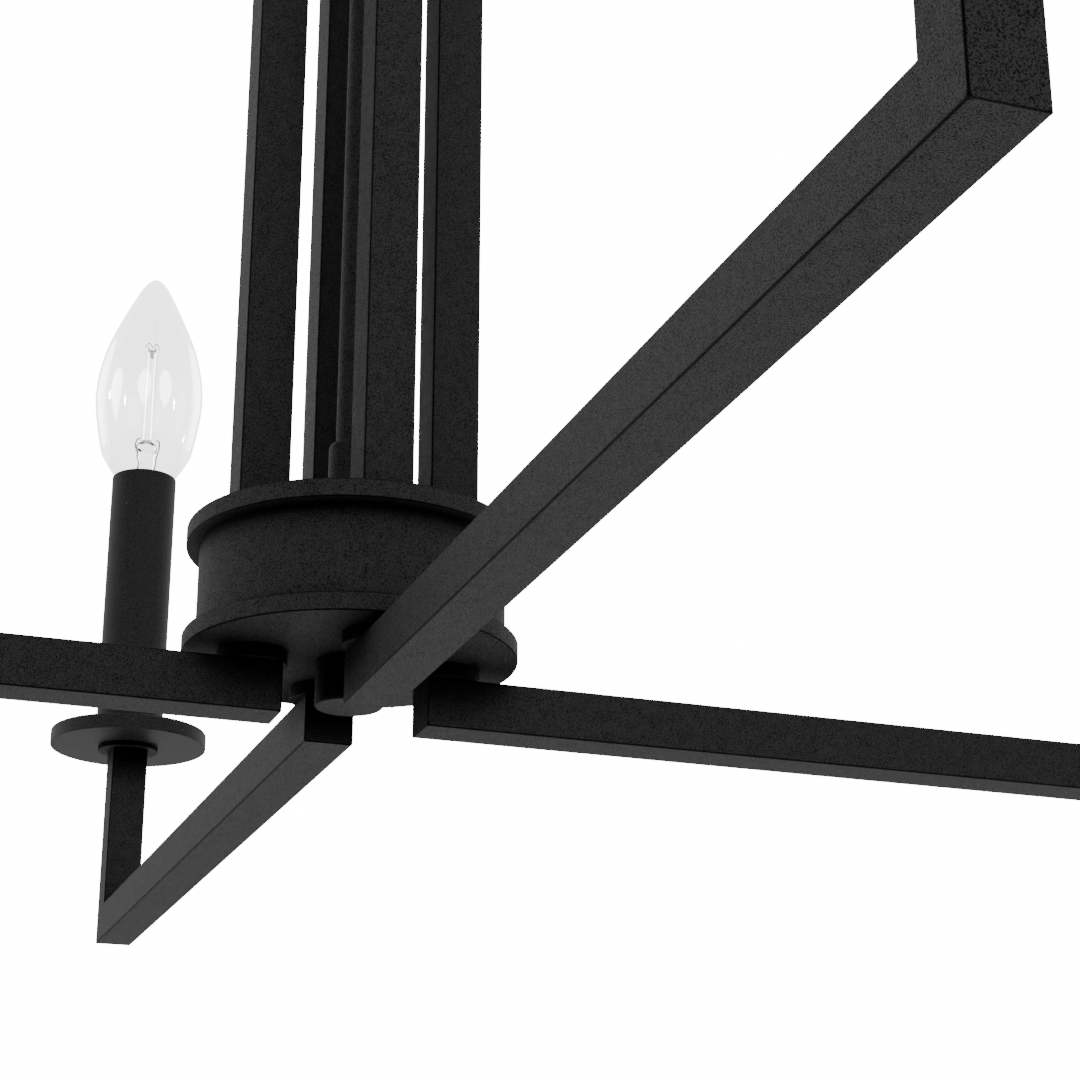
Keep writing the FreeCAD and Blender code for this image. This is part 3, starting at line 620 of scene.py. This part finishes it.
nickel = plated_metal("nickel_plated_brass", "#8f8b84", "#b9b5ad", (0.2, 0.38), 3.0)
molybdenum = plated_metal("molybdenum_wire", "#3c3c3e", "#5a5a5d", (0.35, 0.5), 0.5)
dumet = plated_metal("dumet_wire", "#4b4440", "#6a5f59", (0.3, 0.45), 1.0)
thick_wire, thin_wire, filament_wire = 0.24, 0.07, 0.045
foot_line = smooth_line([(2.6, 12.0), (3.3, 18.0), (3.7, 21.0), (4.4, 23.4), (4.0, 25.6), (2.9, 26.0)])
lead_line = smooth_line([(2.9, 26.0), (2.0, 30.0), (1.9, 45.0), (1.9, 58.0), (2.7, 63.9)])
hook_line = smooth_line([(0.1, 59.5), (0.3, 62.2), (1.2, 62.6), (1.3, 64.2)])


def bulb_leads(side, spot):
    """Leads and hooks in pairs, left and right of the axis, from lines of distance and height above the rim.
    At a height h a foot lead stands 2.4 mm in front of the axis and sways by 0.7 sin 1.4 h, a thin lead
    leans back by 1 in 20 to reach the axis at 66 mm, and a hook stands on the axis."""
    x, y = spot
    feet = y - 2.4 + 0.7 * np.sin(1.4 * foot_line[:, 1])
    leads = y - 2.0 * (66 - lead_line[:, 1]) / 40
    hooks = y + 0 * hook_line[:, 0]
    kinds = [("foot_lead", foot_line, feet, thick_wire, dumet), ("lead", lead_line, leads, thin_wire, nickel),
             ("hook", hook_line, hooks, thick_wire, molybdenum)]
    for hand, word in ((-1, "left"), (1, "right")):
        for kind, line, depth, radius, metal in kinds:
            path = np.stack([x + hand * line[:, 0], depth, rim + line[:, 1]], -1)
            piece = wire("bulb_%s_%s_%s" % (kind, word, side), path, radius, metal)
            fit(piece, "bulb_" + side, "nickel_cap")


def bulb_filament(side, spot):
    """Filament: a coil of 0.26 mm radius with 14 turns to the leg, along the four legs of a zigzag that is
    5.4 mm across and 1.6 mm high and sways by 0.5 mm: the zigzag plus 0.26 (0, cos 28 pi s, sin 28 pi s)
    after s legs."""
    s = np.linspace(0, 4, 1400)
    zigzag = np.stack([1.35 * (s - 2), 0.5 * np.sin(np.pi * s), 65.8 - 1.6 * np.abs((s % 2) - 1)], -1)
    twist = s * 2 * np.pi * 14
    coil = zigzag + 0.26 * np.stack([0 * s, np.cos(twist), np.sin(twist)], -1)
    piece = wire("bulb_filament_" + side, coil + [*spot, rim], filament_wire, nickel, sides=6)
    fit(piece, "bulb_" + side, "nickel_cap")


# ---------------------------------------------------------------- bulb caps
# A screw shell, rolled from thin nickel-plated brass and cemented round the bulb's neck, with a
# black glass insulator under it and a tin solder contact in the middle. The four bulbs are then
# put together from their glass, wires and cap.

def black_vitrite():
    """Cast black glass, fused under the screw shell: jet black and glossy, clouded at about 2 mm."""
    material, tree = new_material("black_vitrite")
    surface(tree, {"Base Color": linear("#0a0a0b"), "IOR": 1.52,
                   "Roughness": remap(tree, noise(tree, 500.0, 3.0), (0.0, 1.0), (0.06, 0.2))})
    return material


vitrite = black_vitrite()
solder = plated_metal("tin_solder", "#8e8f90", "#b4b5b6", (0.3, 0.5), 1.0)
shell_radius, shell_wave, shell_pitch, shell_low = 5.6, 0.33, 2.54, cap_low + 4.2
insulator_top, insulator_low, insulator_foot = cap_low + 4.25, cap_low + 1.3, 2.4
contact_radius, contact_top = 2.2, cap_low + 2.2


def bulb_screw_shell(side, spot):
    """Shell whose radius at angle t is its own plus w f cos(2 pi z / pitch - t), a rolled screw thread of the
    wave w, which f fades out over 1.5 mm at both ends. Its top edge closes onto the glass neck."""
    t = full_turn(96)
    z = np.linspace(shell_low, rim, 90)
    fade = np.clip((z - shell_low) / 1.5, 0, 1) * np.clip((rim - 2.2 - z) / 1.5, 0, 1)
    r = shell_radius + shell_wave * fade * np.cos(2 * np.pi * z / shell_pitch - t)
    r = np.where(z > rim - 0.01, bulb_neck, r)
    shell = grid_piece("bulb_screw_shell_" + side, lathe(r, z, spot, t), (True, False), nickel, crease=80)
    fit(shell, "bulb_" + side, "nickel_cap", "bulb_cap_" + side)


def bulb_base(side, spot):
    """Insulator, a cone that narrows downwards, and the contact, a round-bottomed button below it."""
    cone = outline([(shell_radius, insulator_top, 0.4), (axis, insulator_top, 0), (axis, insulator_low, 0),
                    (insulator_foot, insulator_low, 0.4)])
    fit(turned("bulb_insulator_" + side, cone, vitrite, at=spot, around=64), "bulb_" + side, "nickel_cap")
    drop = outline([(contact_radius, contact_top, 0.3), (axis, contact_top, 0), (axis, cap_low, 0),
                    (contact_radius, cap_low, 1.4)])
    fit(turned("bulb_contact_" + side, drop, solder, at=spot, around=48), "bulb_" + side, "nickel_cap")


for side, spot in spots.items():
    bulb_envelope(side, spot)
    bulb_mount(side, spot)
    bulb_leads(side, spot)
    bulb_filament(side, spot)
    bulb_screw_shell(side, spot)
    bulb_base(side, spot)


# ---------------------------------------------------------------- floor
# A plain pale round floor, 60 m across, well below the lamp. It is no part of the lamp, only the
# ground under it.

def floor_paint():
    """Matt off-white floor paint, clouded at about 0.3 m."""
    material, tree = new_material("matt_floor_paint")
    drift = noise(tree, 3.0, 2.0)
    surface(tree, {"Base Color": blend(tree, drift, "#ececec", "#f2f2f2"), "Roughness": 0.9})
    return material


floor_radius, floor_height = 30000.0, -1900.0
r, t = np.array([[0.0], [floor_radius]]), np.linspace(0, 2 * np.pi, 96, endpoint=False)
points = np.stack([r * np.cos(t), r * np.sin(t), 0 * r * t + floor_height], -1)
floor = grid_piece("floor", points, (False, True), floor_paint())


# ---------------------------------------------------------------- light
# The camera sees a plain white backdrop. The coats are lit by a dim room, brighter behind the
# lamp, two round soft boxes high in front, and the pale floor, which has a wash of light of its
# own. The glass mirrors bright windows. Lights are placed and sized in metres.

def direction(turn, lift):
    """Unit direction turned from straight in front (-y) towards -x and lifted, both in degrees:
    (-sin a cos b, -cos a cos b, sin b)."""
    a, b = math.radians(turn), math.radians(lift)
    return (-math.sin(a) * math.cos(b), -math.cos(a) * math.cos(b), math.sin(b))


white = (1, 1, 1, 1)
backdrop_strength, mirrored_room = 16.0, 3.9
world = bpy.data.worlds.new("studio")
bpy.context.scene.world = world
world.use_nodes = True
tree = world.node_tree
tree.nodes.clear()
toward = add(tree, "TexCoord").outputs["Generated"]
way = add(tree, "SeparateXYZ", {0: toward})
behind = remap(tree, way.outputs["Y"], (-0.35, 0.45), (0.0, 1.0), smooth=True)
lit = add(tree, "Math", {0: behind, 1: 0.48, 2: 0.35}, operation="MULTIPLY_ADD")
room = add(tree, "Background", {"Color": white, "Strength": lit.outputs[0]})
seen = add(tree, "Background", {"Color": white, "Strength": backdrop_strength})
ray = add(tree, "LightPath")

# Each window has its turn and lift, the angle from its middle to its rim, and its strength.
windows = [(86, 19, 14, 60.0), (22, 19, 14, 60.0), (-23, 19, 14, 60.0), (138, 23, 18, 9.0),
           (-118, 23, 18, 8.0), (63, 9, 2.5, 300.0), (-45.5, 9, 2.5, 300.0), (104, 16, 2.5, 300.0),
           (-89, 5, 2.5, 300.0)]
glow = mirrored_room
for turn, lift, spread, power in windows:
    facing = add(tree, "VectorMath", {0: toward, 1: direction(turn, lift)}, operation="DOT_PRODUCT")
    limit = math.cos(math.radians(spread))
    window = remap(tree, facing.outputs["Value"], (limit, 0.8 * limit + 0.2), (0.0, 1.0))
    glow = add(tree, "Math", {0: window, 1: power, 2: glow}, operation="MULTIPLY_ADD").outputs[0]
glassy = add(tree, "Background", {"Color": white, "Strength": glow})
shone = add(tree, "MixShader", {0: ray.outputs["Is Singular Ray"], 1: room.outputs[0], 2: glassy.outputs[0]})
studio = add(tree, "MixShader", {0: ray.outputs["Is Camera Ray"], 1: shone.outputs[0], 2: seen.outputs[0]})
add(tree, "OutputWorld", {"Surface": studio.outputs[0]})


def soft_light(name, shape, size, power):
    """Area light with a power in watts, which the camera doesn't see."""
    lamp = bpy.data.lights.new(name, "AREA")
    lamp.shape = shape
    lamp.size = size
    lamp.energy = power
    light = bpy.data.objects.new(name, lamp)
    bpy.context.scene.collection.objects.link(light)
    light.visible_camera = False
    return light


wash = soft_light("floor_wash", "SQUARE", 12.0, 76.0)
wash.location = (0.0, 0.0, -1.15)

# Both boxes face the back candle.
aim, box_distance, box_lift = Vector((0.0, 0.292, -0.64)), 2.0, 39
for name, turn, power in (("soft_box_middle", 16.0, 2.3), ("soft_box_right", -29.0, 2.65)):
    box = soft_light(name, "DISK", 1.06, power)
    away = Vector(direction(turn, box_lift))
    box.location = aim + box_distance * away
    box.rotation_euler = away.to_track_quat("Z", "Y").to_euler()


# ---------------------------------------------------------------- camera
# Below the arms, close to the end of the front arm, looking up into the hub. Its place, direction
# and lens were solved from the straight edges of the arms, bars and uprights.

lens = bpy.data.cameras.new("camera")
lens.lens = 79.16
lens.sensor_width = 36.0
camera = bpy.data.objects.new("camera", lens)
bpy.context.scene.collection.objects.link(camera)
camera.location = (-0.14048, -0.516155, -0.99891)
camera.rotation_euler = (math.radians(110.005), 0.0, math.radians(-20.006))
bpy.context.scene.camera = camera
